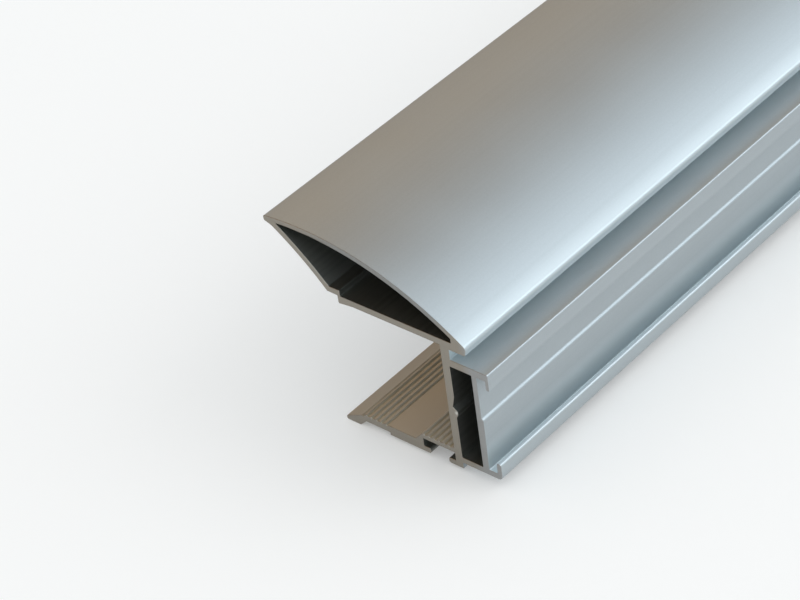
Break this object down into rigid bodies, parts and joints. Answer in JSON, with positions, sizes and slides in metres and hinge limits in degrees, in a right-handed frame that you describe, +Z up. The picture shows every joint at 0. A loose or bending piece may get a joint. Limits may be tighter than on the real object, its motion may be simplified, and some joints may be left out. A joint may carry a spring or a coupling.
{
  "type": "aluminium extrusion profile",
  "caption": "Extruded aluminium grip stile, sold as bar stock: a hollow curved wing over an open panel rebate, a boxed stem, and a ribbed flange with a brush-seal groove.",
  "frame": {"origin": "middle of the bounding box in plan, on the floor under the toe of the flange", "axes": "+Y along the length, +Z up with the base level, +X towards the outer side with the gutter lip; the wing's grip nose is on the -X side"},
  "size_m": [0.0476, 1, 0.0403],
  "materials": {
    "anodised_aluminium": "satin natural anodised, bare where it is sawn"
  },
  "bodies": {
    "root": {"extruded_profile": "anodised_aluminium"}
  },
  "joints": []
}
